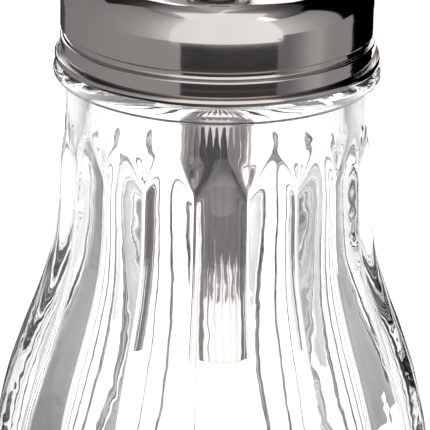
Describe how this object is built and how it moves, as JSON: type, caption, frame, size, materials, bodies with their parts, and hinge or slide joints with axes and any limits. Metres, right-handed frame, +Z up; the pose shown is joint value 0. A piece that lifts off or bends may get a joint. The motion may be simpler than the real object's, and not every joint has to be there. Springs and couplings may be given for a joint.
{
  "type": "sugar dispenser with flap",
  "caption": "Ribbed glass sugar jar with a screwed steel lid, a dosing tube through its middle and a hinged flap over the tube's slanted mouth.",
  "frame": {"origin": "middle of the jar's foot, on the surface that it stands on", "axes": "+Z up along the jar; -Y is the front, where the flap's free edge points; +X to the right seen from the front"},
  "size_m": [0.0774, 0.0786, 0.1482],
  "materials": {
    "jar_glass": "clear fire-polished pressed glass",
    "polished_steel": "mirror-polished stainless steel",
    "drawn_steel": "bright drawn stainless steel",
    "insert_plastic": "moulded, satin",
    "gasket_silicone": "smooth translucent silicone"
  },
  "bodies": {
    "jar": {"glass_jar": "jar_glass"},
    "seal": {"sealing_gasket": "gasket_silicone"},
    "lid": {"lid_shell": "polished_steel", "thread_insert": "insert_plastic", "spout_collar": "polished_steel", "tube_flange": "drawn_steel", "pour_tube": "drawn_steel", "hinge_bracket": "polished_steel", "hinge_pin": "drawn_steel"},
    "flap": {"flap": "polished_steel"}
  },
  "joints": [
    {"name": "lid_rise", "type": "slide", "parent": "jar", "child": "seal", "axis": [0, 0, 1], "range_m": [0, 0.0034]},
    {"name": "lid_turn", "type": "hinge", "parent": "seal", "child": "lid", "pos_m": [0, 0, 0.11], "axis": [0, 0, 1], "range_deg": [0, 380]},
    {"name": "flap_hinge", "type": "hinge", "parent": "lid", "child": "flap", "pos_m": [0, 0.00914, 0.14669], "axis": [-1, 0, 0], "range_deg": [0, 100]}
  ],
  "couplings": [
    {"joint": "lid_rise", "follows": "lid_turn", "m_per_rad": 0.0005093}
  ]
}
